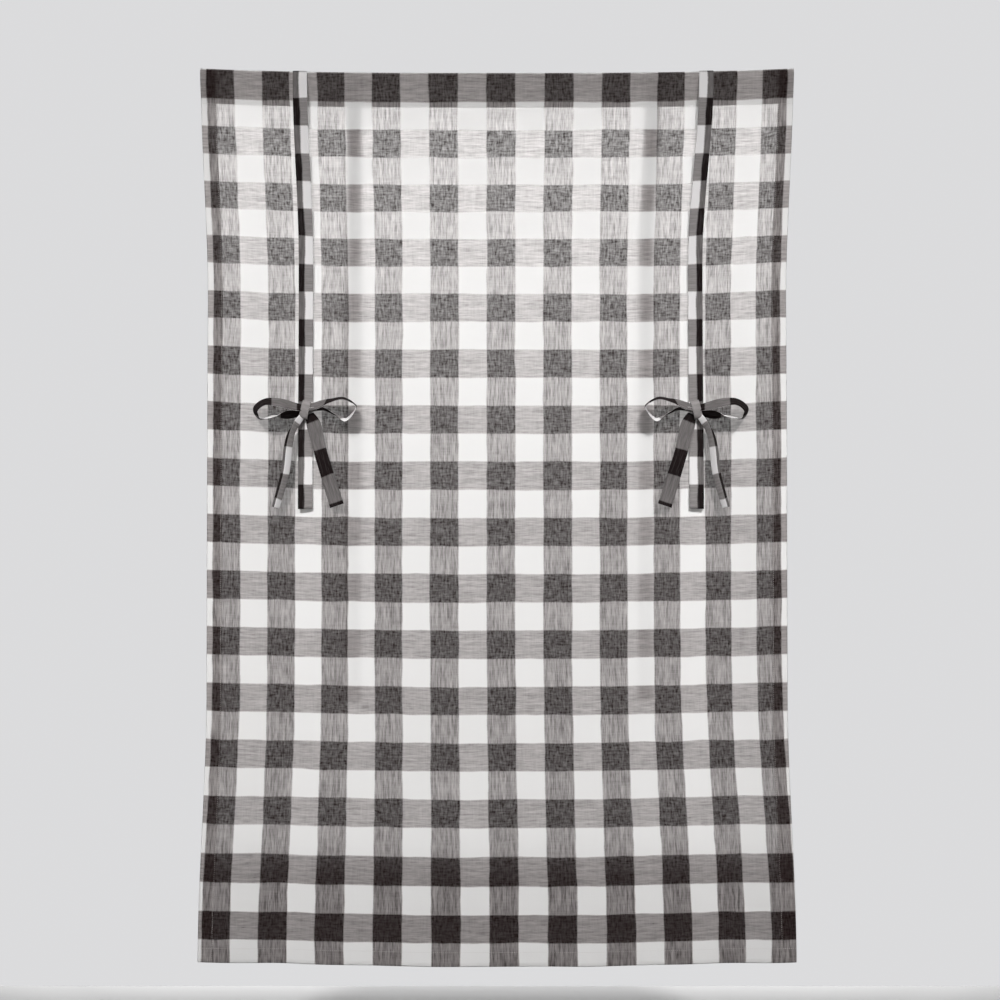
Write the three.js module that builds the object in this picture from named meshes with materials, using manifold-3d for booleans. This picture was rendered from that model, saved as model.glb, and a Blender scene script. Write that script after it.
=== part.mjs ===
// A tie-up balloon shade let down to its full drop: a sheer checked panel under an open rod
// pocket, a pair of ties in front of it, a pair behind it, and a bow sewn to each front tie.
// Millimetres. X runs to the viewer's right, -Y faces the viewer and Z is up. The origin is the
// middle of the top fold.

import * as THREE from 'three';
import { mergeVertices } from 'three/addons/utils/BufferGeometryUtils.js';
import Module from 'manifold-3d';

const wasm = await Module();
wasm.setup();

// Cloth
const PANEL_WIDTH = 1067;
const DROP = 1600;
const CLOTH = 1.5;
const DOUBLED = 2.4;
const HEM = 27.5;
const HEM_STEP = 3;
const SEWN_GAP = 0.4;

// Rod pocket: a round crown for the rod over two layers that meet at the stitch line
const POCKET_DROP = 62;
const CROWN_RADIUS = 11;
const SEAM_MARGIN = 5;
const POCKET_STEPS = 16;
const CROWN_SEGMENTS = 7;

// How the panel hangs: the rail rises towards its ends, the hem stands forward of the rail,
// and the folds draw the sides in between the heading and the hem
const END_RISE = 8;
const RISE_POWER = 3;
const LEAN = 42;
const SIDE_DRAW = 0.028;
const DRAW_FULL_AT = 0.27;
const DRAW_EASES_AT = 0.7;

// Folds of the panel. at and spread are across the cloth, forward is towards the viewer, and a
// fold starts, is full and keeps its share at the hem by shares of the drop.
const FOLDS = [
  { at: -522, forward: 14, spread: 66, power: 2, starts: 0.05, full: 0.40, hem: 0.7 },
  { at: -388, forward: -11, spread: 52, power: 2, starts: 0.05, full: 0.30, hem: 1.0 },
  { at: -232, forward: -4, spread: 40, power: 2, starts: 0.10, full: 0.45, hem: 0.6 },
  { at: -104, forward: 6, spread: 44, power: 2, starts: 0.03, full: 0.42, hem: 0.5 },
  { at: 8, forward: 24, spread: 212, power: 4, starts: 0.00, full: 0.48, hem: 0.5 },
  { at: 70, forward: -6, spread: 48, power: 2, starts: 0.10, full: 0.50, hem: 0.6 },
  { at: 168, forward: 5, spread: 40, power: 2, starts: 0.06, full: 0.30, hem: 0.8 },
  { at: 286, forward: -5, spread: 42, power: 2, starts: 0.10, full: 0.40, hem: 0.4 },
  { at: 404, forward: -10, spread: 50, power: 2, starts: 0.05, full: 0.35, hem: 0.8 },
  { at: 524, forward: 16, spread: 64, power: 2, starts: 0.05, full: 0.45, hem: 0.8 },
];

const PANEL_COLUMNS = 42;
const PANEL_ROWS = 24;

// Ties. top, settled and end are places across the shade, at the fold, part way and at the free
// end, which hangs to its reach below the fold. A tie is sewn on round the crown, from an angle of
// over degrees above its level.
const TIE_WIDTH = 26;
const TIE_SETTLES = 330;
const TIE_STEP = 24;
const TIE_CLEARANCE = 2;
const TIE_CROWN_STEPS = 5;
const TIE_RADIUS = CROWN_RADIUS + SEWN_GAP + DOUBLED / 2;
const TIES = [
  { name: 'front_tie_left', side: -1, over: 58, reach: 787, top: -354, settled: -343, end: -344 },
  { name: 'front_tie_right', side: -1, over: 58, reach: 787, top: 376, settled: 356, end: 358 },
  { name: 'back_tie_left', side: 1, over: 40, reach: 1130, top: -257, settled: -256, end: -257 },
  { name: 'back_tie_right', side: 1, over: 40, reach: 1130, top: 280, settled: 268, end: 266 },
];

// Bows. The strips of one bow run through points from its knot: x away from the middle of the
// knot, z up, out towards the viewer from the tie, tilt of the strip's face (0 is edge on).
const KNOT_DROP = 611;
const LOOP_STEPS = 24;
const TAIL_STEPS = 10;
const LOOP_OUTER = [
  { x: 4, z: 3, out: 9, tilt: 40, width: 11 },
  { x: -20, z: 8, out: 16, tilt: 42, width: 20 },
  { x: -45, z: 14, out: 26, tilt: 36, width: 25 },
  { x: -70, z: 15, out: 29, tilt: 29, width: 25 },
  { x: -87, z: 2, out: 24, tilt: 26, width: 25 },
  { x: -80, z: -14, out: 17, tilt: 4, width: 25 },
  { x: -55, z: -10, out: 16, tilt: -8, width: 25 },
  { x: -30, z: -7, out: 13, tilt: 38, width: 22 },
  { x: 2, z: -4, out: 9, tilt: 30, width: 11 },
];
const LOOP_INNER = [
  { x: -4, z: 3, out: 9, tilt: -40, width: 11 },
  { x: 21, z: 9, out: 17, tilt: -40, width: 20 },
  { x: 46, z: 17, out: 28, tilt: -16, width: 25 },
  { x: 71, z: 21, out: 33, tilt: -9, width: 25 },
  { x: 92, z: 6, out: 27, tilt: 2, width: 25 },
  { x: 74, z: -16, out: 18, tilt: 13, width: 25 },
  { x: 53, z: -6, out: 16, tilt: -1, width: 25 },
  { x: 30, z: 4, out: 13, tilt: -12, width: 20 },
  { x: -2, z: 0, out: 9, tilt: -30, width: 11 },
];
const TAIL_OUTER = [
  { x: -6, z: -9, out: 10, tilt: 60, width: 11 },
  { x: -24, z: -36, out: 12, tilt: 46, width: 22 },
  { x: -31.5, z: -66, out: 14, tilt: 44, width: 25 },
  { x: -37, z: -113, out: 15, tilt: 42, width: 25 },
  { x: -53.5, z: -173, out: 16, tilt: 40, width: 25 },
];
const TAIL_INNER = [
  { x: 8, z: -6, out: 7, tilt: 74, width: 16 },
  { x: 15, z: -24, out: 8, tilt: 74, width: 27 },
  { x: 21, z: -46, out: 9, tilt: 74, width: 26 },
  { x: 28, z: -75, out: 11, tilt: 73, width: 25 },
  { x: 41, z: -117, out: 15, tilt: 72, width: 26 },
  { x: 57.5, z: -170, out: 19, tilt: 76, width: 27 },
];
const KNOT = { x: 0, z: 2, out: 8, height: 31, depth: 16, width: 16, slant: 14, steps: 16 };
const BOWS = [
  { name: 'bow_left', tie: 'front_tie_left', mirror: 1 },
  { name: 'bow_right', tie: 'front_tie_right', mirror: -1 },
];

const sheerCloth = new THREE.MeshStandardMaterial({ color: 0xa9a5a3, roughness: 0.9, metalness: 0 });
const doubledCloth = new THREE.MeshStandardMaterial({ color: 0x6d6866, roughness: 0.9, metalness: 0 });

const { smoothstep, lerp, degToRad } = THREE.MathUtils;

// How far the rail, and all that hangs from it, stands above the middle of the fold.
function railRise(across) {
  return END_RISE * Math.abs(2 * across / PANEL_WIDTH) ** RISE_POWER;
}

// How far the panel stands towards the viewer at a place on the flat cloth.
function panelForward(across, down) {
  const share = (down - POCKET_DROP) / (DROP - POCKET_DROP);
  let forward = LEAN * share;
  for (const fold of FOLDS) {
    const grown = smoothstep(share, fold.starts, fold.full);
    const kept = lerp(1, fold.hem, smoothstep(share, fold.full, 1));
    const bump = Math.exp(-(Math.abs((across - fold.at) / fold.spread) ** fold.power));
    forward += fold.forward * grown * kept * bump;
  }
  return forward;
}

// The middle of the cloth at a place across the flat panel and down from the top fold.
function hang(across, down) {
  const share = down / DROP;
  const draw = SIDE_DRAW * smoothstep(share, 0, DRAW_FULL_AT) * (1 - smoothstep(share, DRAW_EASES_AT, 1));
  return new THREE.Vector3(
    across * (1 - draw),
    -panelForward(across, down),
    railRise(across) - down,
  );
}

// The cloth's face direction there, towards the back.
function hangNormal(across, down) {
  const reach = 1;
  const sideways = hang(across + reach, down).sub(hang(across - reach, down));
  const downwards = hang(across, down + reach).sub(hang(across, down - reach));
  return sideways.cross(downwards).normalize();
}

// The places of a sheet's grid lines, with closer lines where a hem ends.
function stations(from, to, count, hemAtStart, hemAtEnd) {
  const first = hemAtStart ? [from, from + HEM] : [from];
  const last = hemAtEnd ? [to - HEM, to] : [to];
  const start = hemAtStart ? from + HEM + HEM_STEP : from;
  const end = hemAtEnd ? to - HEM - HEM_STEP : to;
  const between = [];
  for (let i = hemAtStart ? 0 : 1; i < count + (hemAtEnd ? 1 : 0); i++) {
    between.push(lerp(start, end, i / count));
  }
  return [...first, ...between, ...last];
}

// A closed sheet: a box of unit cells whose corners go where place(across, along, face) says.
// face is -1 on the front and 1 on the back.
function sheet(acrossLines, alongLines, place) {
  const columns = acrossLines.length - 1;
  const rows = alongLines.length - 1;
  const box = new THREE.BoxGeometry(columns, 2, rows, columns, 1, rows);
  const corners = box.attributes.position;
  for (let i = 0; i < corners.count; i++) {
    const across = acrossLines[Math.round(corners.getX(i) + columns / 2)];
    const along = alongLines[Math.round(rows / 2 - corners.getZ(i))];
    const placed = place(across, along, corners.getY(i));
    corners.setXYZ(i, placed.x, placed.y, placed.z);
  }
  return welded(box);
}

// A geometry with its shared corners merged, so that it is one closed surface.
function welded(geometry) {
  geometry.deleteAttribute('normal');
  geometry.deleteAttribute('uv');
  return mergeVertices(geometry);
}

function panelGeometry() {
  const half = PANEL_WIDTH / 2;
  const top = POCKET_DROP + SEWN_GAP;
  const acrossLines = stations(-half, half, PANEL_COLUMNS, true, true);
  const downLines = stations(top, DROP, PANEL_ROWS, false, true);
  return sheet(acrossLines, downLines, (across, down, face) => {
    const inHem = Math.abs(across) >= half - HEM || down >= DROP - HEM;
    const thickness = inHem ? DOUBLED : CLOTH;
    return hang(across, down).addScaledVector(hangNormal(across, down), face * thickness / 2);
  });
}

// An outline of the pocket's section: an arc over the rod, and two straight layers that meet below.
function pocketOutline(path, radius, bottom, halfSeam) {
  const centre = -CROWN_RADIUS;
  const tangent = Math.acos(radius / (-bottom + centre));
  path.moveTo(halfSeam, bottom);
  path.absarc(0, centre, radius, tangent - Math.PI / 2, 1.5 * Math.PI - tangent, false);
  path.lineTo(-halfSeam, bottom);
  path.closePath();
  return path;
}

function pocketGeometry() {
  const section = pocketOutline(new THREE.Shape(), CROWN_RADIUS, -POCKET_DROP, CLOTH);
  const channelFoot = SEAM_MARGIN - POCKET_DROP;
  section.holes.push(pocketOutline(new THREE.Path(), CROWN_RADIUS - CLOTH, channelFoot, CLOTH / 4));
  const tube = new THREE.ExtrudeGeometry(section, {
    depth: PANEL_WIDTH,
    steps: POCKET_STEPS,
    curveSegments: CROWN_SEGMENTS,
    bevelEnabled: false,
  });
  tube.translate(0, 0, -PANEL_WIDTH / 2);
  const alongRail = new THREE.Matrix4().makeBasis(
    new THREE.Vector3(0, 1, 0),
    new THREE.Vector3(0, 0, 1),
    new THREE.Vector3(1, 0, 0),
  );
  tube.applyMatrix4(alongRail);
  const corners = tube.attributes.position;
  for (let i = 0; i < corners.count; i++) {
    corners.setZ(i, corners.getZ(i) + railRise(corners.getX(i)));
  }
  return welded(tube);
}

// Where a tie runs across the shade, a length down from the fold.
function tieAcross(tie, down) {
  const settled = lerp(tie.top, tie.settled, smoothstep(down, 0, TIE_SETTLES));
  return lerp(settled, tie.end, smoothstep(down, TIE_SETTLES, tie.reach));
}

// How far in front of the panel's plane a tie hangs: off the crown, and clear of the folds.
function tieStandOff(tie, down) {
  let standOff = TIE_RADIUS;
  if (down <= POCKET_DROP) return standOff;
  for (const edge of [-TIE_WIDTH / 2, 0, TIE_WIDTH / 2]) {
    const cloth = -tie.side * panelForward(tieAcross(tie, down) + edge, down);
    standOff = Math.max(standOff, cloth + CLOTH / 2 + TIE_CLEARANCE + DOUBLED / 2);
  }
  return standOff;
}

// How much of a tie's length is sewn on round the crown.
function crownLength(tie) {
  return TIE_RADIUS * degToRad(tie.over);
}

// The middle of a tie, below a level rail: round the crown first, then down at its stand-off.
function tiePoint(tie, along) {
  const hanging = along - crownLength(tie);
  const across = tieAcross(tie, Math.max(hanging, 0));
  if (hanging < 0) {
    const angle = -hanging / TIE_RADIUS;
    const back = tie.side * TIE_RADIUS * Math.cos(angle);
    return new THREE.Vector3(across, back, TIE_RADIUS * Math.sin(angle) - CROWN_RADIUS);
  }
  const down = CROWN_RADIUS + hanging;
  return new THREE.Vector3(across, tie.side * tieStandOff(tie, down), -down);
}

function tieGeometry(tie) {
  const roundCrown = crownLength(tie);
  const hanging = tie.reach - CROWN_RADIUS;
  const hangSteps = Math.round(hanging / TIE_STEP);
  const alongLines = [];
  for (let i = 0; i < TIE_CROWN_STEPS; i++) alongLines.push(roundCrown * i / TIE_CROWN_STEPS);
  for (let i = 0; i <= hangSteps; i++) alongLines.push(roundCrown + hanging * i / hangSteps);
  const rightwards = new THREE.Vector3(1, 0, 0);
  const reach = 0.5;
  return sheet([-TIE_WIDTH / 2, TIE_WIDTH / 2], alongLines, (across, along, face) => {
    const down = tiePoint(tie, along + reach).sub(tiePoint(tie, along - reach)).setX(0).normalize();
    const towardsBack = rightwards.clone().cross(down);
    const corner = tiePoint(tie, along)
      .addScaledVector(rightwards, across)
      .addScaledVector(towardsBack, face * DOUBLED / 2);
    corner.z += railRise(corner.x);
    return corner;
  });
}

// A strip of doubled cloth through a table of points, in a bow's own frame: x across, y away from
// the viewer, z up, with the tie's front at y = 0.
function stripGeometry(table, steps, mirror) {
  const points = table.map((row) => ({ ...row, x: mirror * row.x, tilt: mirror * row.tilt }));
  const curve = new THREE.CatmullRomCurve3(
    points.map((point) => new THREE.Vector3(point.x, -point.out, point.z)),
    false,
    'centripetal',
  );
  const alongLines = Array.from({ length: steps + 1 }, (_, i) => i / steps);
  return sheet([-1, 1], alongLines, (edge, along, face) => {
    const tangent = curve.getTangent(along);
    const towardsViewer = new THREE.Vector3(0, -1, 0).projectOnPlane(tangent).normalize();
    const inView = tangent.clone().cross(towardsViewer).negate();
    const tilt = degToRad(tableValue(points, 'tilt', along));
    const side = towardsViewer.multiplyScalar(Math.cos(tilt)).addScaledVector(inView, Math.sin(tilt));
    const normal = side.clone().cross(tangent);
    return curve.getPoint(along)
      .addScaledVector(side, edge * tableValue(points, 'width', along) / 2)
      .addScaledVector(normal, face * DOUBLED / 2);
  });
}

// A column of a strip's table, read part way along it.
function tableValue(points, column, along) {
  const place = along * (points.length - 1);
  const row = Math.min(Math.floor(place), points.length - 2);
  return lerp(points[row][column], points[row + 1][column], place - row);
}

// The knot: a band of the strip wound over the crossing of the loops, filled by them.
function knotGeometry(mirror) {
  const barrel = new THREE.SphereGeometry(1, KNOT.steps, KNOT.steps / 2);
  barrel.scale(KNOT.width / 2, KNOT.depth / 2, KNOT.height / 2);
  barrel.rotateY(degToRad(mirror * KNOT.slant));
  barrel.translate(mirror * KNOT.x, -KNOT.out, KNOT.z);
  return welded(barrel);
}

function solidOf(geometry) {
  const mesh = new wasm.Mesh({
    numProp: 3,
    vertProperties: new Float32Array(geometry.attributes.position.array),
    triVerts: new Uint32Array(geometry.index.array),
  });
  return new wasm.Manifold(mesh);
}

function bowGeometry(mirror) {
  const strips = [
    stripGeometry(LOOP_OUTER, LOOP_STEPS, mirror),
    stripGeometry(LOOP_INNER, LOOP_STEPS, mirror),
    stripGeometry(TAIL_OUTER, TAIL_STEPS, mirror),
    stripGeometry(TAIL_INNER, TAIL_STEPS, mirror),
  ];
  let solid = solidOf(knotGeometry(mirror));
  for (const strip of strips) solid = solid.add(solidOf(strip));
  const joined = solid.getMesh();
  const geometry = new THREE.BufferGeometry();
  geometry.setAttribute('position', new THREE.BufferAttribute(joined.vertProperties, 3));
  geometry.setIndex(new THREE.BufferAttribute(joined.triVerts, 1));
  return geometry;
}

function named(name, geometry, material) {
  const mesh = new THREE.Mesh(geometry, material);
  mesh.name = name;
  return mesh;
}

const shade = new THREE.Group();
shade.add(named('shade_panel', panelGeometry(), sheerCloth));
shade.add(named('rod_pocket', pocketGeometry(), sheerCloth));
for (const tie of TIES) shade.add(named(tie.name, tieGeometry(tie), doubledCloth));
for (const bow of BOWS) {
  const tie = TIES.find((each) => each.name === bow.tie);
  const mesh = named(bow.name, bowGeometry(bow.mirror), doubledCloth);
  const across = tieAcross(tie, KNOT_DROP);
  const tieFront = tieStandOff(tie, KNOT_DROP) + DOUBLED / 2;
  mesh.position.set(across, -tieFront - SEWN_GAP, railRise(across) - KNOT_DROP);
  shade.add(mesh);
}

export default shade;
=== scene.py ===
# A tie-up balloon shade let down to its full drop: a sheer checked panel with turned hems and an open
# rod pocket, a pair of ties in front of it, a pair behind it, and a bow sewn to each front tie.
# Metres. X runs to the viewer's right, -Y faces the viewer and Z is up, from the middle of the top fold.
import math

import bmesh
import bpy
from mathutils import Matrix, Vector


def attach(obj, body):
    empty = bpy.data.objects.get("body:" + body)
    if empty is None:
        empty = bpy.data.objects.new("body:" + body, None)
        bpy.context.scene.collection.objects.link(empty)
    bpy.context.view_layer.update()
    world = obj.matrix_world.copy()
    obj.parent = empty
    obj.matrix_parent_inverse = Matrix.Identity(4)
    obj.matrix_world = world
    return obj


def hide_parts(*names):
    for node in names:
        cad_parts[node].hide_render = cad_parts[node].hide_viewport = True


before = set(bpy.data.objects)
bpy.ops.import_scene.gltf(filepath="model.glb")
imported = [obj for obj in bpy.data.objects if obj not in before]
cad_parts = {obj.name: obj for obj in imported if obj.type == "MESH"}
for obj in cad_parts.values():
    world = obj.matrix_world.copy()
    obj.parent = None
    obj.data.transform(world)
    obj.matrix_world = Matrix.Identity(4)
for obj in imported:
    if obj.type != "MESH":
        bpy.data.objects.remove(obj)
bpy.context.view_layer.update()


def named_rows(columns, *rows):
    """A table whose rows are read by the names of its columns."""
    return [dict(zip(columns, row)) for row in rows]


# Cloth
PANEL_WIDTH = 1.067
DROP = 1.600
HALF = PANEL_WIDTH / 2
HEM = 0.0275
LAYER_GAP = 0.0009
FOLD_REACH = 0.0015
PANEL_STEP = 0.0075

# Rod pocket. The cloth's middle runs inside the pocket's outer radius.
POCKET_DROP = 0.062
POCKET_RADIUS = 0.011
CROWN_RADIUS = 0.0105
CROWN_STEPS = 12

# How the panel hangs. A fold has its place across, how far it comes forward, half its width, how square it
# is, the shares of the drop where it starts and is full, and the share of it that is left at the foot.
END_RISE = 0.008
RISE_POWER = 3
LEAN = 0.042
SIDE_DRAW = 0.028
DRAW_FULL_AT = 0.27
DRAW_EASES_AT = 0.7
SLOPE_REACH = 0.001
FOLDS = named_rows(
    ("at", "forward", "spread", "power", "starts", "full", "hem"),
    (-0.522, 0.014, 0.066, 2, 0.05, 0.40, 0.7),
    (-0.388, -0.011, 0.052, 2, 0.05, 0.30, 1.0),
    (-0.232, -0.004, 0.040, 2, 0.10, 0.45, 0.6),
    (-0.104, 0.006, 0.044, 2, 0.03, 0.42, 0.5),
    (0.008, 0.024, 0.212, 4, 0.00, 0.48, 0.5),
    (0.070, -0.006, 0.048, 2, 0.10, 0.50, 0.6),
    (0.168, 0.005, 0.040, 2, 0.06, 0.30, 0.8),
    (0.286, -0.005, 0.042, 2, 0.10, 0.40, 0.4),
    (0.404, -0.010, 0.050, 2, 0.05, 0.35, 0.8),
    (0.524, 0.016, 0.064, 2, 0.05, 0.45, 0.8),
)

# Check, counted in checks across and down: columns crowd towards the sides, soft gathers take up part of
# a check above the foot, and rows are drawn up a little between the heading and the foot
CHECK = 0.0522
CHECK_DOWN = 0.0502
COLUMN_START = 0.25
CROWDS_FROM = 0.25
CROWDING_LEFT = 1.98
CROWDING_RIGHT = 6.44
GATHERS_SHIFT = 0.086
GATHERS = named_rows(
    ("at", "spread", "takes"),
    (-0.28, 0.09, 0.101),
    (0.28, 0.09, 0.078),
)
GATHERS_EASE = (0.62, 0.98)
FIRST_ROW = 0.0025
ROWS_DRAWN_UP = 0.10
DRAWN_UP_FROM = (0.06, 0.26)
DRAWN_UP_TO = (0.83, 0.94)
CHECK_MAP = "check"

# Ties. side is -1 in front and 1 behind, over is how many degrees of the crown a tie is sewn round, reach
# is its drop, and top, settled and end are its place across on the way down.
TIE_WIDTH = 0.026
TIE_THICKNESS = 0.0018
TIE_SETTLES = 0.330
TIE_CLEARANCE = 0.004
TIE_STEP = 0.006
TIE_SLOPE_REACH = 0.0005
TIE_RADIUS = 0.0126
TIES = named_rows(
    ("name", "side", "over", "reach", "top", "settled", "end"),
    ("front_tie_left", -1, 58, 0.787, -0.354, -0.343, -0.344),
    ("front_tie_right", -1, 58, 0.787, 0.376, 0.356, 0.358),
    ("back_tie_left", 1, 40, 1.130, -0.257, -0.256, -0.257),
    ("back_tie_right", 1, 40, 1.130, 0.280, 0.268, 0.266),
)
TIE_CHECK_DOWN = 0.0496
TIE_FIRST_ROW = 0.049
TIE_BLACK_SHARE = 0.44
TIE_BACK_COLUMN = 0.5

# A strip of doubled cloth, as in a tie or a bow
SECTION_STEPS = 24
SECTION_FLATNESS = 0.5
WELD = 1e-6

# Bows. A strip runs through points in millimetres from the middle of the knot: x across, z up, out
# towards the viewer from the tie, tilt of its face (0 is edge on), width, and how far its layers stand
# apart at the edge away from the viewer.
MM = 0.001
KNOT_DROP = 0.611
SEWN_GAP = 0.0004
STRIP_EDGE = 1.6
STRIP_STEP = 0.0025
STRIP_COLUMN = 0.25
LENGTH_STEPS = 60
ROW_MARGIN = 1e-6
STRIP_COLUMNS = ("x", "z", "out", "tilt", "width", "open")
LOOP_OUTER = named_rows(
    STRIP_COLUMNS,
    (4, 3, 9, 40, 11, 6),
    (-20, 8, 16, 42, 20, 4),
    (-45, 14, 26, 36, 25, 3),
    (-70, 15, 29, 29, 25, 3),
    (-87, 2, 24, 26, 25, 3),
    (-80, -14, 17, 4, 25, 3),
    (-55, -10, 16, -8, 25, 3),
    (-30, -7, 13, 38, 22, 4),
    (2, -4, 9, 30, 11, 6),
)
LOOP_INNER = named_rows(
    STRIP_COLUMNS,
    (-4, 3, 9, -40, 11, 6),
    (21, 9, 17, -40, 20, 4),
    (46, 17, 28, -16, 25, 3),
    (71, 21, 33, -9, 25, 3),
    (92, 6, 27, 2, 25, 3),
    (74, -16, 18, 13, 25, 3),
    (53, -6, 16, -1, 25, 3),
    (30, 4, 13, -12, 20, 4),
    (-2, 0, 9, -30, 11, 6),
)
TAIL_OUTER = named_rows(
    STRIP_COLUMNS,
    (-6, -10, 11, -55, 12, 4),
    (-15, -22, 12, -40, 15, 8),
    (-25, -38, 13, -14, 13, 16),
    (-31.5, -66, 14, -12, 13, 20),
    (-37, -113, 15, -12, 13, 20),
    (-53.5, -173, 16, -12, 12, 18),
)
TAIL_INNER = named_rows(
    STRIP_COLUMNS,
    (8, -6, 7, 74, 16, 6),
    (15, -24, 8, 74, 27, 3),
    (21, -46, 9, 74, 26, 3),
    (28, -75, 11, 73, 25, 2),
    (41, -117, 15, 72, 26, 2),
    (57.5, -170, 19, 76, 27, 2),
)
# A black face of 1 is towards the outside of a loop or the right of a tail
BOW_STRIPS = named_rows(
    ("table", "black_face", "first_row", "row_length"),
    (LOOP_OUTER, -1, 0.567, 0.0462),
    (LOOP_INNER, 1, 1.123, 0.0516),
    (TAIL_OUTER, -1, -0.295, 0.0475),
    (TAIL_INNER, -1, 0.70, 0.0502),
)
# The knot's band in millimetres, and its slant in degrees
KNOT_BAND = {"z": 2, "out": 8, "height": 31, "depth": 17, "width": 15.5, "thickness": 2.6}
KNOT_SLANT = 14
KNOT_STEPS = 40
KNOT_COLUMN = 1.3
KNOT_ROW = 0.15
# Each bow, the tie that it is sewn to, and -1 for the mirrored one
BOWS = (
    ("bow_left", "front_tie_left", 1),
    ("bow_right", "front_tie_right", -1),
)


def smoothstep(value, low, high):
    share = min(max((value - low) / (high - low), 0.0), 1.0)
    return share * share * (3 - 2 * share)


def lerp(start, end, share):
    return start + (end - start) * share


# How the cloth hangs

def rail_rise(across):
    return END_RISE * abs(across / HALF) ** RISE_POWER


def panel_forward(across, down):
    """How far the panel stands towards the viewer at a place on the flat cloth."""
    share = (down - POCKET_DROP) / (DROP - POCKET_DROP)
    forward = LEAN * share
    for fold in FOLDS:
        grown = smoothstep(share, fold["starts"], fold["full"])
        kept = lerp(1, fold["hem"], smoothstep(share, fold["full"], 1))
        crest = math.exp(-abs((across - fold["at"]) / fold["spread"]) ** fold["power"])
        forward += fold["forward"] * grown * kept * crest
    return forward


def side_draw(down):
    share = down / DROP
    return SIDE_DRAW * smoothstep(share, 0, DRAW_FULL_AT) * (1 - smoothstep(share, DRAW_EASES_AT, 1))


def hang(across, down):
    return Vector((across * (1 - side_draw(down)), -panel_forward(across, down), rail_rise(across) - down))


def hang_back(across, down):
    """The cloth's face direction there, towards the back."""
    sideways = hang(across + SLOPE_REACH, down) - hang(across - SLOPE_REACH, down)
    downwards = hang(across, down + SLOPE_REACH) - hang(across, down - SLOPE_REACH)
    return sideways.cross(downwards).normalized()


# Shader values

class Field:
    """A shader value. Arithmetic on it adds Math nodes to its material."""

    def __init__(self, tree, socket=None):
        self.tree = tree
        self.socket = socket

    def node(self, kind, settings=None, sockets=None, output=0):
        made = self.tree.nodes.new(kind)
        for name, value in (settings or {}).items():
            setattr(made, name, value)
        for name, value in (sockets or {}).items():
            if isinstance(value, Field):
                self.tree.links.new(value.socket, made.inputs[name])
            else:
                made.inputs[name].default_value = value
        return Field(self.tree, made.outputs[output] if made.outputs else None)

    def maths(self, operation, *values):
        return self.node("ShaderNodeMath", {"operation": operation}, dict(enumerate(values)))

    def __add__(self, other):
        return self.maths("ADD", self, other)

    def __radd__(self, other):
        return self.maths("ADD", other, self)

    def __sub__(self, other):
        return self.maths("SUBTRACT", self, other)

    def __rsub__(self, other):
        return self.maths("SUBTRACT", other, self)

    def __mul__(self, other):
        return self.maths("MULTIPLY", self, other)

    def __rmul__(self, other):
        return self.maths("MULTIPLY", other, self)

    def within(self, low=0.0, high=1.0):
        return self.maths("MINIMUM", self.maths("MAXIMUM", self, low), high)

    def blend(self, start, end):
        """A colour between two by this value, on the Mix node's colour sockets."""
        return self.node("ShaderNodeMix", {"data_type": "RGBA"}, {0: self, 6: start, 7: end}, 2)


def bare_nodes(block):
    """Clears a material's or a world's nodes and gives a value to add new ones with."""
    block.use_nodes = True
    block.node_tree.nodes.clear()
    return Field(block.node_tree)


# Materials. Scales are counts to a check, across the yarns and along them.

NOISE_DETAIL = 2.0
NOISE_ROUGHNESS = 0.55
EDGE_SHARPNESS = 22
EDGE_WANDER = 0.035
WANDER_ACROSS = 9
WANDER_ALONG = 30
GRAIN_BENDS = 0.12
BEND_SCALE = 0.7
FINE_ACROSS = 30
FINE_ALONG = 2.4
BROAD_ACROSS = 12
BROAD_ALONG = 0.8
BROAD_SHARE = 0.5
STREAK_CONTRAST = 3.6
STREAK_THIN = 0.5
STREAK_RELIEF = 0.4
SLUB_ACROSS = 24
SLUB_ALONG = 3.6
SLUB_FROM = 0.64
SLUB_EDGE = 8
HATCH_ACROSS = 15
HATCH_ALONG = 3.5
HATCH_LEVEL = 0.8
HATCH_THIN = 3.3
THIN_RANGE = (0.1, 2.6)
CROSSED_STREAK = 0.05
YARN_ACROSS = 64
YARN_ALONG = 9
RELIEF_STRENGTH = 0.35
RELIEF_DEPTH = 0.0004
CLOTH_ROUGHNESS = 0.9
CLOTH_GLOSS = 0.08
GLOW = (0.92, 0.90, 0.89, 1)
MOTTLE_SCALE = 900.0
MOTTLE_DARK = 0.85

# Where each pattern lies in the noise, with room for a broad layer beside a fine one
SEED_START = 1.0
SEED_STEP = 4
BROAD_SEED = 2
PATTERNS = (
    "warp", "weft", "column_wander", "row_wander", "yarns_down", "yarns_across",
    "hatch_upright", "hatch_level", "column_bend", "row_bend", "warp_slubs", "weft_slubs",
)
SEEDS = {pattern: SEED_START + SEED_STEP * i for i, pattern in enumerate(PATTERNS)}


def noise_at(x, y, seed):
    place = x.node("ShaderNodeCombineXYZ", None, {"X": x, "Y": y, "Z": seed})
    sockets = {"Vector": place, "Scale": 1.0, "Detail": NOISE_DETAIL, "Roughness": NOISE_ROUGHNESS}
    return x.node("ShaderNodeTexNoise", {"noise_dimensions": "3D"}, sockets)


def sharpened(value, contrast):
    return ((value - 0.5) * contrast + 0.5).within()


def black_band(place):
    """1 on the black checks and 0 on the white ones, by a place counted in checks. 0 to 1 is black."""
    return sharpened(place.maths("PINGPONG", place + 0.5, 1.0), EDGE_SHARPNESS)


def streaks(across, along, seed):
    """Uneven yarns of one direction, 0 where they are fine and 1 where they are thick."""
    fine = noise_at(across * FINE_ACROSS, along * FINE_ALONG, seed)
    broad = noise_at(across * BROAD_ACROSS, along * BROAD_ALONG, seed + BROAD_SEED)
    return sharpened(lerp(fine, broad, BROAD_SHARE), STREAK_CONTRAST)


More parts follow.
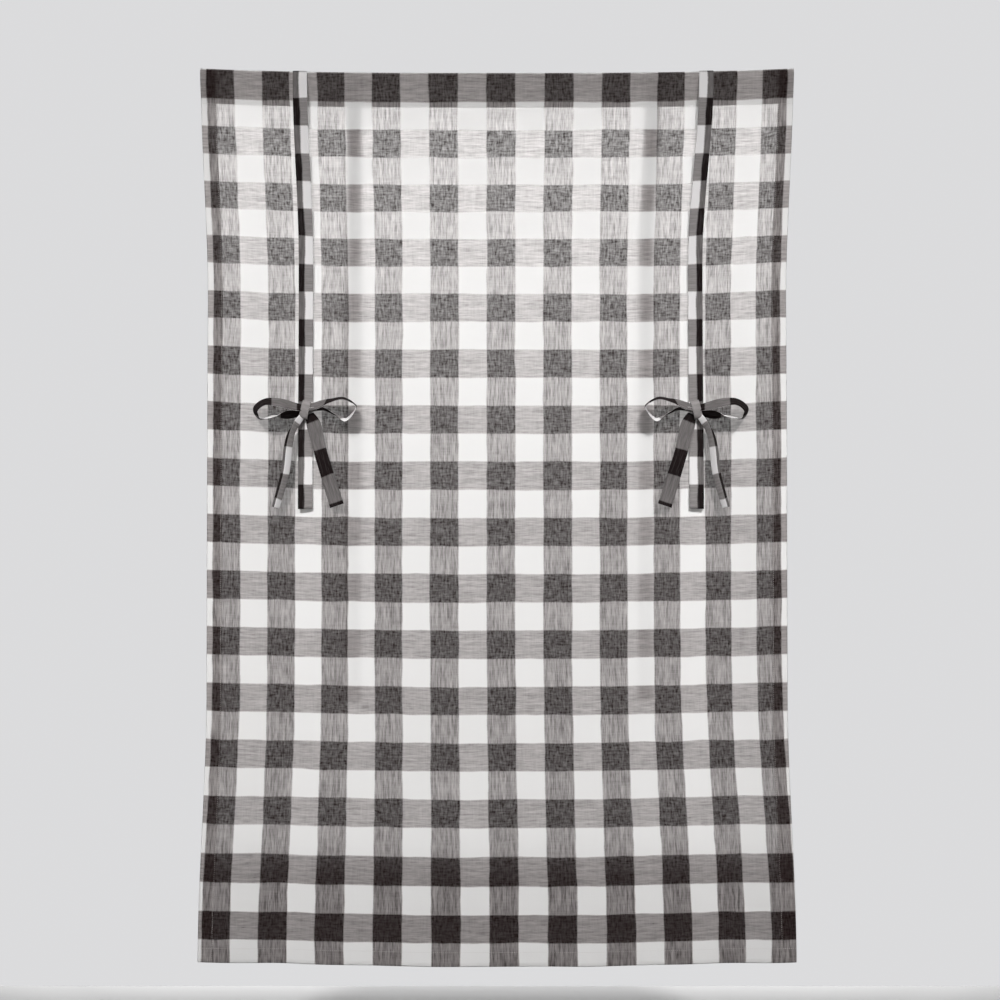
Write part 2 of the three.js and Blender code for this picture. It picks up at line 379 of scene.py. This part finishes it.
def slubs(across, along, seed):
    """Short thick places in the yarns of one direction, few and dark."""
    return ((noise_at(across * SLUB_ACROSS, along * SLUB_ALONG, seed) - SLUB_FROM) * SLUB_EDGE).within()


class Weave:
    """Slubby cotton woven in checks, with black yarn in some columns and rows."""

    def __init__(self, cloth):
        self.cloth = cloth
        flat = cloth.node("ShaderNodeUVMap", {"uv_map": CHECK_MAP})
        self.column = cloth.node("ShaderNodeSeparateXYZ", None, {"Vector": flat}, "X")
        self.row = cloth.node("ShaderNodeSeparateXYZ", None, {"Vector": flat}, "Y")
        self.warp = streaks(self.column, self.row, SEEDS["warp"])
        self.weft = streaks(self.row, self.column, SEEDS["weft"])
        column_wander = self.noise("column_wander", WANDER_ACROSS, WANDER_ALONG) * EDGE_WANDER
        row_wander = self.noise("row_wander", WANDER_ALONG, WANDER_ACROSS) * EDGE_WANDER
        column_bend = self.noise("column_bend", BEND_SCALE, BEND_SCALE) * GRAIN_BENDS
        row_bend = self.noise("row_bend", BEND_SCALE, BEND_SCALE) * GRAIN_BENDS
        self.black_column = black_band(self.column + column_wander + column_bend)
        self.black_row = black_band(self.row + row_wander + row_bend)
        self.both = self.black_column * self.black_row

    def noise(self, pattern, by_column, by_row):
        """Noise about 0, with its counts to a column and to a row."""
        return noise_at(self.column * by_column, self.row * by_row, SEEDS[pattern]) - 0.5

    def colour(self, yarn):
        """From white over grey to black, by how much black yarn shows in the face."""
        warp_slubs = slubs(self.column, self.row, SEEDS["warp_slubs"])
        weft_slubs = slubs(self.row, self.column, SEEDS["weft_slubs"])
        warp_part = yarn["warp"] + yarn["warp_streak"] * (self.warp - 0.5) + yarn["slub"] * warp_slubs
        weft_part = yarn["weft"] + yarn["weft_streak"] * (self.weft - 0.5) + yarn["slub"] * weft_slubs
        crossed_part = yarn["crossed"] + CROSSED_STREAK * (self.warp - 0.5)
        warp_shows = self.black_column * (1 - self.black_row) * warp_part
        weft_shows = self.black_row * (1 - self.black_column) * weft_part
        dark = (self.both * crossed_part + warp_shows + weft_shows).within()
        lighter = (dark * 2).within().blend(yarn["white"], yarn["grey"])
        return (dark * 2 - 1).within().blend(lighter, yarn["black"])

    def relief(self):
        yarns_down = self.noise("yarns_down", YARN_ACROSS, YARN_ALONG)
        yarns_across = self.noise("yarns_across", YARN_ALONG, YARN_ACROSS)
        height = yarns_down + yarns_across + STREAK_RELIEF * (self.warp + self.weft)
        sockets = {"Strength": RELIEF_STRENGTH, "Distance": RELIEF_DEPTH, "Height": height}
        return self.cloth.node("ShaderNodeBump", None, sockets)

    def passing(self, passes):
        """The share of light let through, more where yarns are fine."""
        upright = self.noise("hatch_upright", HATCH_ACROSS, HATCH_ALONG)
        level = self.noise("hatch_level", HATCH_ALONG, HATCH_ACROSS)
        hatched = self.both * HATCH_THIN * (upright + HATCH_LEVEL * level)
        streaked = (1 - self.both) * STREAK_THIN * (1 - self.warp - self.weft)
        thin = (1 + streaked + hatched).within(*THIN_RANGE)
        in_white = lerp(passes["white"], passes["weft"], self.black_row)
        in_black = lerp(passes["warp"], passes["crossed"], self.black_row)
        return (lerp(in_white, in_black, self.black_column) * thin).within()


def checked_cloth(yarn):
    material = bpy.data.materials.new(yarn["name"])
    cloth = bare_nodes(material)
    weave = Weave(cloth)
    face = cloth.node(
        "ShaderNodeBsdfPrincipled",
        None,
        {
            "Base Color": weave.colour(yarn),
            "Roughness": CLOTH_ROUGHNESS,
            "Specular IOR Level": CLOTH_GLOSS,
            "Normal": weave.relief(),
        },
    )
    if "passes" in yarn:
        glow = cloth.node("ShaderNodeBsdfTranslucent", None, {"Color": GLOW})
        face = cloth.node("ShaderNodeMixShader", None, {0: weave.passing(yarn["passes"]), 1: face, 2: glow})
    cloth.node("ShaderNodeOutputMaterial", None, {"Surface": face})
    return material


def plain_finish(name, colour, roughness):
    """A matt finish, a little uneven."""
    material = bpy.data.materials.new(name)
    finish = bare_nodes(material)
    place = finish.node("ShaderNodeTexCoord", None, None, "Object")
    sockets = {"Vector": place, "Scale": MOTTLE_SCALE, "Detail": NOISE_DETAIL}
    mottle = finish.node("ShaderNodeTexNoise", None, sockets)
    darker = tuple(MOTTLE_DARK * part for part in colour[:3]) + (1,)
    sockets = {"Base Color": mottle.blend(colour, darker), "Roughness": roughness}
    face = finish.node("ShaderNodeBsdfPrincipled", None, sockets)
    finish.node("ShaderNodeOutputMaterial", None, {"Surface": face})
    return material


# Two yarns. warp, weft and crossed are how dark the face is where black yarn runs down, across or both
# ways, streaks and slub how uneven that is, and passes the share of light let through there.
SHEER_YARN = {
    "name": "sheer_check",
    "white": (0.86, 0.85, 0.84, 1),
    "grey": (0.448, 0.414, 0.408, 1),
    "black": (0.021, 0.0125, 0.012, 1),
    "warp": 0.735,
    "weft": 0.63,
    "crossed": 1.02,
    "warp_streak": 0.40,
    "weft_streak": 0.26,
    "slub": 0.20,
    "passes": {"white": 0.11, "warp": 0.200, "weft": 0.222, "crossed": 0.108},
}
DOUBLED_YARN = {
    "name": "tie_check",
    "white": (0.82, 0.80, 0.80, 1),
    "grey": (0.41, 0.385, 0.38, 1),
    "black": (0.012, 0.008, 0.008, 1),
    "warp": 0.82,
    "weft": 0.68,
    "crossed": 1.0,
    "warp_streak": 0.12,
    "weft_streak": 0.12,
    "slub": 0.06,
}
THREAD_COLOUR = (0.74, 0.71, 0.69, 1)
THREAD_ROUGHNESS = 0.7
SHEER = checked_cloth(SHEER_YARN)
DOUBLED = checked_cloth(DOUBLED_YARN)
THREAD = plain_finish("sewing_thread", THREAD_COLOUR, THREAD_ROUGHNESS)


# Making pieces

def as_object(name, shape, material):
    """A bmesh made into an object at the origin."""
    mesh = bpy.data.meshes.new(name)
    shape.to_mesh(mesh)
    shape.free()
    mesh.materials.append(material)
    made = bpy.data.objects.new(name, mesh)
    bpy.context.collection.objects.link(made)
    return made


def finished(name, shape, material):
    """A piece of the shade, with smooth faces."""
    for face in shape.faces:
        face.smooth = True
    piece = as_object(name, shape, material)
    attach(piece, "root")
    return piece


def blank_cloth():
    """An empty bmesh with a map of the check."""
    shape = bmesh.new()
    shape.loops.layers.uv.new(CHECK_MAP)
    return shape


def draped_grid(shape, across_count, along_count, place, check):
    """Adds a grid to a bmesh. place and check give each crossing's place and its place in the check."""
    check_map = shape.loops.layers.uv[CHECK_MAP]
    made = bmesh.ops.create_grid(shape, x_segments=across_count, y_segments=along_count, size=1.0)
    corners = {}
    for corner in made["verts"]:
        column = round((corner.co.x + 1) / 2 * across_count)
        row = round((corner.co.y + 1) / 2 * along_count)
        corners[corner] = (column, row)
    faces = {face for corner in corners for face in corner.link_faces}
    for face in faces:
        for loop in face.loops:
            loop[check_map].uv = check(*corners[loop.vert])
    for corner, crossing in corners.items():
        corner.co = place(*crossing)
    return list(corners)


# Panel

def spaced(start, end, step):
    """Even places from start up to, but without, end."""
    count = max(1, math.ceil(abs(end - start) / step))
    return [lerp(start, end, i / count) for i in range(count)]


def pocket_half(drop):
    """Half the pocket's depth below its top: an arc, then two flat layers that meet."""
    slope = math.asin(CROWN_RADIUS / (POCKET_DROP - CROWN_RADIUS))
    leaves = CROWN_RADIUS * (1 + math.sin(slope))
    if drop < leaves:
        return math.sqrt(max(CROWN_RADIUS ** 2 - (CROWN_RADIUS - drop) ** 2, 0))
    return CROWN_RADIUS * math.cos(slope) * (POCKET_DROP - drop) / (POCKET_DROP - leaves)


def panel_lines():
    """The flat cloth's grid lines, across and down, with close lines where it is turned."""
    left = spaced(-HALF - HEM, -HALF - FOLD_REACH, PANEL_STEP) + [-HALF - FOLD_REACH, -HALF]
    right = [-across for across in reversed(left)]
    across = left + spaced(-HALF + FOLD_REACH, HALF - FOLD_REACH, PANEL_STEP) + [HALF - FOLD_REACH] + right
    crown = [CROWN_RADIUS * (1 - math.cos(math.pi / 2 * i / CROWN_STEPS)) for i in range(1, CROWN_STEPS)]
    front = crown + spaced(CROWN_RADIUS, POCKET_DROP, PANEL_STEP)
    back = [-down for down in reversed(front + [POCKET_DROP])]
    body = spaced(POCKET_DROP, DROP - FOLD_REACH, PANEL_STEP) + [DROP - FOLD_REACH, DROP, DROP + FOLD_REACH]
    turned = spaced(DROP + 2 * FOLD_REACH, DROP + HEM, PANEL_STEP) + [DROP + HEM]
    return across, back + [0.0] + front + body + turned


def panel_place(flat_across, flat_down):
    """Where a place on the flat cloth hangs, with its hems and heading turned to the back."""
    across = math.copysign(min(abs(flat_across), PANEL_WIDTH - abs(flat_across)), flat_across)
    side_turn = smoothstep(abs(flat_across), HALF - FOLD_REACH, HALF + FOLD_REACH)
    if flat_down < POCKET_DROP:
        drop = abs(flat_down)
        half = pocket_half(drop) - side_turn * LAYER_GAP
        forward = half if flat_down >= 0 else -half - LAYER_GAP
        return Vector((across * (1 - side_draw(drop)), -forward, rail_rise(across) - drop))
    down = min(flat_down, 2 * DROP - flat_down)
    foot_turn = smoothstep(flat_down, DROP - FOLD_REACH, DROP + FOLD_REACH)
    return hang(across, down) + hang_back(across, down) * LAYER_GAP * (side_turn + 2 * foot_turn)


def panel_check(flat_across, flat_down):
    """A place on the flat cloth, counted in checks."""
    share = flat_down / DROP
    gathered = 1 - smoothstep(share, *GATHERS_EASE)
    column = COLUMN_START + flat_across / CHECK + gathered * GATHERS_SHIFT
    column += CROWDING_RIGHT * max(flat_across - CROWDS_FROM, 0) ** 2
    column -= CROWDING_LEFT * max(-flat_across - CROWDS_FROM, 0) ** 2
    for gather in GATHERS:
        column += gathered * gather["takes"] * math.tanh((flat_across - gather["at"]) / gather["spread"])
    drawn_up = smoothstep(share, *DRAWN_UP_FROM) * (1 - smoothstep(share, *DRAWN_UP_TO))
    return column, (flat_down - FIRST_ROW) / CHECK_DOWN + ROWS_DRAWN_UP * drawn_up


def make_panel():
    across, down = panel_lines()
    shape = blank_cloth()
    draped_grid(
        shape,
        len(across) - 1,
        len(down) - 1,
        lambda i, j: panel_place(across[i], down[j]),
        lambda i, j: panel_check(across[i], down[j]),
    )
    panel = finished("checked_panel", shape, SHEER)
    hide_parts("shade_panel", "rod_pocket")


# Strips of doubled cloth

def section_point(turn):
    """A place on a strip's flattened section, as shares of half its width and thickness."""
    angle = 2 * math.pi * turn
    across = math.copysign(abs(math.cos(angle)) ** SECTION_FLATNESS, math.cos(angle))
    through = math.copysign(abs(math.sin(angle)) ** SECTION_FLATNESS, math.sin(angle))
    return across, through


def round_strip(turn):
    """How far round a strip a place on its section lies, in widths: 0 to 1 in front, 1 to 2 behind."""
    across = section_point(turn)[0]
    return (1 - across) / 2 if turn <= 0.5 else 1 + (1 + across) / 2


def add_strip(shape, steps, frame_at, check):
    """Adds a flattened tube. frame_at gives its middle, side, face, width and thickness at both edges."""
    frames = [frame_at(j / steps) for j in range(steps + 1)]

    def place(i, j):
        middle, side, face, width, (near, far) = frames[j]
        across, through = section_point(i / SECTION_STEPS)
        thickness = lerp(far, near, (1 + across) / 2)
        return middle + side * across * width / 2 + face * through * thickness / 2

    corners = draped_grid(
        shape,
        SECTION_STEPS,
        steps,
        place,
        lambda i, j: check(round_strip(i / SECTION_STEPS), j / steps),
    )
    bmesh.ops.remove_doubles(shape, verts=corners, dist=WELD)
    rims = [edge for edge in shape.edges if edge.is_boundary]
    bmesh.ops.holes_fill(shape, edges=rims, sides=0)


# Ties

def tie_across(tie, down):
    settled = lerp(tie["top"], tie["settled"], smoothstep(down, 0, TIE_SETTLES))
    return lerp(settled, tie["end"], smoothstep(down, TIE_SETTLES, tie["reach"]))


def tie_stand_off(tie, down):
    """How far from the middle of the rail a tie hangs: off the crown, and clear of the folds."""
    stand_off = TIE_RADIUS
    if down <= POCKET_DROP:
        return stand_off
    for edge in (-TIE_WIDTH / 2, 0, TIE_WIDTH / 2):
        cloth = -tie["side"] * panel_forward(tie_across(tie, down) + edge, down)
        stand_off = max(stand_off, cloth + TIE_CLEARANCE)
    return stand_off


def tie_crown(tie):
    """The length that is sewn round the crown."""
    return TIE_RADIUS * math.radians(tie["over"])


def tie_point(tie, along):
    hanging = along - tie_crown(tie)
    across = tie_across(tie, max(hanging, 0))
    if hanging < 0:
        angle = -hanging / TIE_RADIUS
        back = tie["side"] * TIE_RADIUS * math.cos(angle)
        return Vector((across, back, TIE_RADIUS * math.sin(angle) - POCKET_RADIUS))
    down = POCKET_RADIUS + hanging
    return Vector((across, tie["side"] * tie_stand_off(tie, down), -down))


def make_tie(tie):
    crown = tie_crown(tie)
    length = crown + tie["reach"] - POCKET_RADIUS
    rightwards = Vector((1, 0, 0))
    reach = TIE_SLOPE_REACH

    def frame_at(share):
        along = share * length
        down = tie_point(tie, along + reach) - tie_point(tie, along - reach)
        down.x = 0
        middle = tie_point(tie, along)
        middle.z += rail_rise(middle.x)
        side = rightwards.copy()
        side.z = (rail_rise(middle.x + reach) - rail_rise(middle.x - reach)) / (2 * reach)
        face = down.normalized().cross(rightwards)
        return middle, side.normalized(), face, TIE_WIDTH, (TIE_THICKNESS, TIE_THICKNESS)

    def check(round_it, share):
        row = (share * length - crown + POCKET_RADIUS - TIE_FIRST_ROW) / TIE_CHECK_DOWN
        if round_it > 1:
            return TIE_BACK_COLUMN, row
        from_outer = round_it if tie["top"] > 0 else 1 - round_it
        return (TIE_BLACK_SHARE - from_outer) * TIE_WIDTH / CHECK, row

    shape = blank_cloth()
    add_strip(shape, round(length / TIE_STEP), frame_at, check)
    bmesh.ops.recalc_face_normals(shape, faces=shape.faces)
    piece = finished("cloth_" + tie["name"], shape, DOUBLED)
    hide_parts(tie["name"])


# Bows

def read_column(table, column, share):
    """A column of a strip's table part way along it, on a smooth curve through its rows."""
    last = len(table) - 1
    place = min(share * last, last - ROW_MARGIN)
    row = int(place)
    part = place - row
    before, start, end, after = (table[min(max(k, 0), last)][column] for k in range(row - 1, row + 3))
    rise = (end - before) / 2
    fall = (after - start) / 2
    return (
        start * (2 * part ** 3 - 3 * part ** 2 + 1)
        + rise * (part ** 3 - 2 * part ** 2 + part)
        + end * (3 * part ** 2 - 2 * part ** 3)
        + fall * (part ** 3 - part ** 2)
    )


def strip_point(table, mirror, share):
    x, out, z = (read_column(table, column, share) for column in ("x", "out", "z"))
    return Vector((mirror * x, -out, z)) * MM


def strip_length(table):
    points = [strip_point(table, 1, i / LENGTH_STEPS) for i in range(LENGTH_STEPS + 1)]
    return sum((end - start).length for start, end in zip(points, points[1:]))


def bow_check(black_face, row):
    """Where a strip lies in the check: one face in a black column, the other in a white one."""
    def check(round_it, share):
        facing = 1 if round_it <= 1 else -1
        column = STRIP_COLUMN + TIE_WIDTH / CHECK * (round_it % 1)
        return column if facing == black_face else column + 1, row(share)
    return check


def add_bow_strip(shape, knot, mirror, table, black_face, first_row, row_length):
    steps = round(strip_length(table) / STRIP_STEP)
    reach = 0.5 / steps
    points = [strip_point(table, mirror, i / steps) for i in range(steps + 1)]
    lengths = [0.0]
    for start, end in zip(points, points[1:]):
        lengths.append(lengths[-1] + (end - start).length)

    def frame_at(share):
        middle = strip_point(table, mirror, share)
        before = strip_point(table, mirror, max(share - reach, 0))
        after = strip_point(table, mirror, min(share + reach, 1))
        tangent = (after - before).normalized()
        to_viewer = Vector((0, -1, 0))
        to_viewer = (to_viewer - tangent * to_viewer.dot(tangent)).normalized()
        in_view = to_viewer.cross(tangent)
        tilt = math.radians(mirror * read_column(table, "tilt", share))
        side = to_viewer * math.cos(tilt) + in_view * math.sin(tilt)
        width, opening = (read_column(table, column, share) * MM for column in ("width", "open"))
        return knot + middle, side, side.cross(tangent), width, (STRIP_EDGE * MM, opening)

    def row(share):
        return first_row + lengths[round(share * steps)] / row_length

    add_strip(shape, steps, frame_at, bow_check(mirror * black_face, row))


def add_knot(shape, knot, mirror):
    """A band of the strip wound once round the crossing of the loops."""
    band = {name: value * MM for name, value in KNOT_BAND.items()}
    slant = math.radians(mirror * KNOT_SLANT)
    side = Vector((math.cos(slant), 0, -math.sin(slant)))
    up = Vector((math.sin(slant), 0, math.cos(slant))) * (band["height"] / 2)
    forward = Vector((0, -band["depth"] / 2, 0))
    centre = knot + Vector((0, -band["out"], band["z"]))

    def frame_at(share):
        angle = 2 * math.pi * share - math.pi
        outward = up * math.sin(angle) + forward * math.cos(angle)
        along = up * math.cos(angle) - forward * math.sin(angle)
        face = side.cross(along).normalized()
        return centre + outward, side, face, band["width"], (band["thickness"], band["thickness"])

    def check(round_it, share):
        return KNOT_COLUMN + round_it * band["width"] / CHECK, KNOT_ROW + share * band["height"] / CHECK

    add_strip(shape, KNOT_STEPS, frame_at, check)


def make_bow(name, tie, mirror):
    across = tie_across(tie, KNOT_DROP)
    front = -tie_stand_off(tie, KNOT_DROP) - TIE_THICKNESS / 2 - SEWN_GAP
    knot = Vector((across, front, rail_rise(across) - KNOT_DROP))
    shape = blank_cloth()
    for strip in BOW_STRIPS:
        add_bow_strip(shape, knot, mirror, **strip)
    add_knot(shape, knot, mirror)
    bmesh.ops.recalc_face_normals(shape, faces=shape.faces)
    bow = finished("cloth_" + name, shape, DOUBLED)
    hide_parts(name)
    length = sum(strip_length(strip["table"]) for strip in BOW_STRIPS)
    "cloth_" + tie["name"]


# Sewing

STITCH = 0.0028
STITCH_PITCH = 0.0036
STITCH_RADIUS = 0.00028
STITCH_INSET = 0.1
SEAM_FROM_EDGE = 0.002
SEAM_BELOW_POCKET = 0.0005


def add_stitches(shape, path, length):
    """Lays stitches along a path given by share, each a drop of thread sunk in the cloth."""
    count = round(length / STITCH_PITCH)
    for i in range(count):
        start = path((i + STITCH_INSET) / count)
        end = path((i + 1 - STITCH_INSET) / count)
        turn = (end - start).to_track_quat("Z", "Y").to_matrix().to_4x4()
        stretch = Matrix.Diagonal((STITCH_RADIUS, STITCH_RADIUS, STITCH / 2, 1))
        place = Matrix.Translation((start + end) / 2) @ turn @ stretch
        bmesh.ops.create_icosphere(shape, subdivisions=1, radius=1, matrix=place)


def on_face(across, down):
    """A place on the front of the panel."""
    return hang(across, down) - hang_back(across, down) * STITCH_RADIUS / 2


def make_stitching():
    shape = bmesh.new()
    for down in (POCKET_DROP + SEAM_BELOW_POCKET, DROP - HEM + SEAM_FROM_EDGE):
        add_stitches(shape, lambda share: on_face(lerp(-HALF, HALF, share), down), PANEL_WIDTH)
    side_seam = HALF - HEM + SEAM_FROM_EDGE
    for across in (-side_seam, side_seam):
        add_stitches(
            shape,
            lambda share: on_face(across, lerp(POCKET_DROP, DROP, share)),
            DROP - POCKET_DROP,
        )
    stitching = finished("stitching", shape, THREAD)


# Stage. The camera is straight on, far off and level with the middle of the picture.

PICTURE_WIDTH = 1.8
CAMERA_DISTANCE = 5.0
CAMERA_ACROSS = 0.0054
CAMERA_HEIGHT = -0.7686
SENSOR = 36.0
FLOOR_HEIGHT = -1.752
FLOOR_BACK = 0.62
FLOOR_FRONT = -2.6
FLOOR_HALF_WIDTH = 2.4
FLOOR_ROUGHNESS = 0.7
PALE = (0.5, 0.5, 0.5, 1)
WORLD_COLOUR = (0.71, 0.71, 0.72, 1)
WORLD_LIGHT = 0.065
LIGHTS = named_rows(
    ("name", "place", "aim", "size", "watts", "spread"),
    ("key_left", (-1.8, -4.0, 2.4), (-0.9, 0, -0.85), (0.6, 0.6), 10.7, 34),
    ("key_right", (1.8, -4.0, 2.4), (0.9, 0, -0.85), (0.6, 0.6), 10.7, 34),
    ("fill", (0, -3.8, 0.5), (0, 0, 0.3), (2.2, 1.2), 1.5, 50),
    ("overhead_front", (0, -1.55, 1.6), (0, -1.55, -1.7), (4.2, 1.5), 18, 24),
    ("overhead_back", (0, 1.0, 1.6), (0, 1.0, -1.7), (2.4, 0.6), 14.4, 24),
    ("behind_top", (0, 0.8, 0.1), (0, 0, -0.2), (1.5, 0.4), 7.3, 80),
    ("behind", (0, 0.3, -0.65), (0, 0, -0.65), (1.3, 1.5), 3.4, 22),
)


def make_camera():
    camera = bpy.data.objects.new("camera", bpy.data.cameras.new("camera"))
    camera.data.sensor_width = SENSOR
    camera.data.lens = SENSOR * CAMERA_DISTANCE / PICTURE_WIDTH
    camera.location = (CAMERA_ACROSS, -CAMERA_DISTANCE, CAMERA_HEIGHT)
    camera.rotation_euler = (math.radians(90), 0, 0)
    bpy.context.collection.objects.link(camera)
    bpy.context.scene.camera = camera


def make_floor():
    shape = bmesh.new()
    middle = Matrix.Translation((0, (FLOOR_BACK + FLOOR_FRONT) / 2, FLOOR_HEIGHT))
    stretch = Matrix.Diagonal((FLOOR_HALF_WIDTH, (FLOOR_BACK - FLOOR_FRONT) / 2, 1, 1))
    bmesh.ops.create_grid(shape, x_segments=1, y_segments=1, size=1.0, matrix=middle @ stretch)
    floor = as_object("floor", shape, plain_finish("pale_floor", PALE, FLOOR_ROUGHNESS))


def make_light(name, place, aim, size, watts, spread):
    data = bpy.data.lights.new(name, "AREA")
    data.shape = "RECTANGLE"
    data.size, data.size_y = size
    data.energy = watts
    data.spread = math.radians(spread)
    light = bpy.data.objects.new(name, data)
    light.location = place
    light.rotation_euler = (Vector(aim) - Vector(place)).to_track_quat("-Z", "Y").to_euler()
    light.visible_camera = False
    bpy.context.collection.objects.link(light)


def make_world():
    """A pale surround that gives less light than it shows."""
    world = bpy.data.worlds.new("studio")
    sky = bare_nodes(world)
    seen = sky.node("ShaderNodeLightPath", None, None, "Is Camera Ray")
    sockets = {"Color": WORLD_COLOUR, "Strength": lerp(WORLD_LIGHT, 1, seen)}
    pale = sky.node("ShaderNodeBackground", None, sockets)
    sky.node("ShaderNodeOutputWorld", None, {"Surface": pale})
    bpy.context.scene.world = world


make_camera()
make_panel()
make_stitching()
for tie in TIES:
    make_tie(tie)
ties_by_name = {tie["name"]: tie for tie in TIES}
for name, tie_name, mirror in BOWS:
    make_bow(name, ties_by_name[tie_name], mirror)
make_floor()
for light in LIGHTS:
    make_light(**light)
make_world()
bpy.context.scene.view_settings.view_transform = "Standard"
